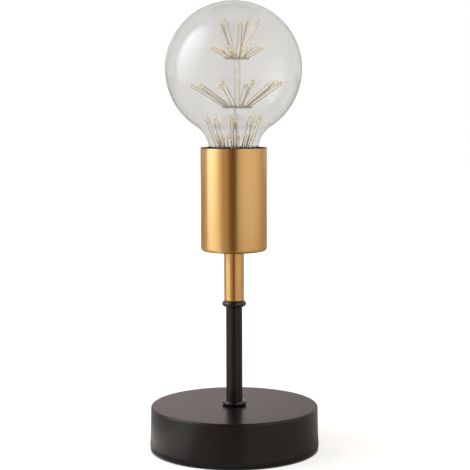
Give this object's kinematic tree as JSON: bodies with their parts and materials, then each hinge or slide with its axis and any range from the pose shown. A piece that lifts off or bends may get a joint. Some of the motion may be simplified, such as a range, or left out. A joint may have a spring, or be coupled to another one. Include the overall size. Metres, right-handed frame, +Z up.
{
  "type": "desk lamp",
  "caption": "Small table lamp: weighted round base, thin stem, satin brass lampholder cup and a clear screw-in globe bulb with a tree of LEDs on wires.",
  "frame": {"origin": "on the table, under the middle of the round base", "axes": "+Z up along the stem, -Y towards the front, +Y towards the cord inlet"},
  "size_m": [0.1192, 0.1207, 0.3157],
  "materials": {
    "black_paint": "semi-gloss black powder coat",
    "cast_iron": "as cast",
    "zinc_steel": "zinc plated",
    "pad_rubber": "foamed sheet",
    "inlet_nylon": "moulded nylon",
    "block_plastic": "moulded",
    "contact_brass": "stamped and turned",
    "satin_brass": "satin, turned grain",
    "holder_plastic": "moulded thermoset",
    "porcelain": "glazed",
    "nickel_plate": "nickel plated, rolled",
    "brown_insulation": "extruded",
    "blue_insulation": "extruded",
    "solder": "solidified solder",
    "black_glass": "pressed black glass",
    "clear_glass": "blown, clear, faint grey tint",
    "board_laminate": "glass-fibre laminate",
    "capacitor_sleeve": "shrink sleeve",
    "tinned_wire": "tinned",
    "led_resin": "cast, clear with a warm tint"
  },
  "bodies": {
    "lamp": {"base_cover": "black_paint", "lower_bead": "black_paint", "stem_tube": "black_paint", "upper_bead": "black_paint", "base_weight": "cast_iron", "base_plate": "zinc_steel", "plate_screws": "zinc_steel", "block_screw": "zinc_steel", "stem_washer": "zinc_steel", "stem_nut": "zinc_steel", "holder_nipple": "zinc_steel", "cup_washer": "zinc_steel", "cup_nut": "zinc_steel", "foot_pad": "pad_rubber", "cord_inlet": "inlet_nylon", "terminal_block": "block_plastic", "terminal_screws": "contact_brass", "holder_posts": "contact_brass", "contact_tab": "contact_brass", "brass_tube": "satin_brass", "socket_cup": "satin_brass", "holder_dome": "holder_plastic", "holder_skirt": "holder_plastic", "holder_insert": "porcelain", "screw_shell": "nickel_plate", "live_wire": "brown_insulation", "neutral_wire": "blue_insulation"},
    "bulb_tip": {"tip_contact": "solder"},
    "bulb": {"bulb_glass": "clear_glass", "bulb_cap": "nickel_plate", "cap_insulator": "black_glass", "driver_board": "board_laminate", "driver_capacitor": "capacitor_sleeve", "cap_leads": "tinned_wire", "neck_board": "board_laminate", "middle_board": "board_laminate", "upper_board": "board_laminate", "stem_glass": "clear_glass", "support_rod": "tinned_wire", "tree_post": "clear_glass", "upper_leds": "led_resin", "upper_leads": "tinned_wire", "middle_leds": "led_resin", "middle_leads": "tinned_wire", "lower_leds": "led_resin", "lower_leads": "tinned_wire"},
    "contact": {"centre_contact": "contact_brass"}
  },
  "joints": [
    {"name": "bulb_rise", "type": "slide", "parent": "lamp", "child": "bulb_tip", "axis": [0, 0, 1], "range_m": [0, 0.01271]},
    {"name": "bulb_turn", "type": "hinge", "parent": "bulb_tip", "child": "bulb", "pos_m": [0, 0, 0.177], "axis": [0, 0, 1], "range_deg": [0, 1260]},
    {"name": "contact_press", "type": "hinge", "parent": "lamp", "child": "contact", "pos_m": [-0.008, 0, 0.17435], "axis": [0, 1, 0], "range_deg": [0, 6], "stiffness_Nm_per_rad": 0.05, "springref_deg": -5.73}
  ],
  "couplings": [
    {"joint": "bulb_rise", "follows": "bulb_turn", "m_per_rad": 0.00057757}
  ]
}
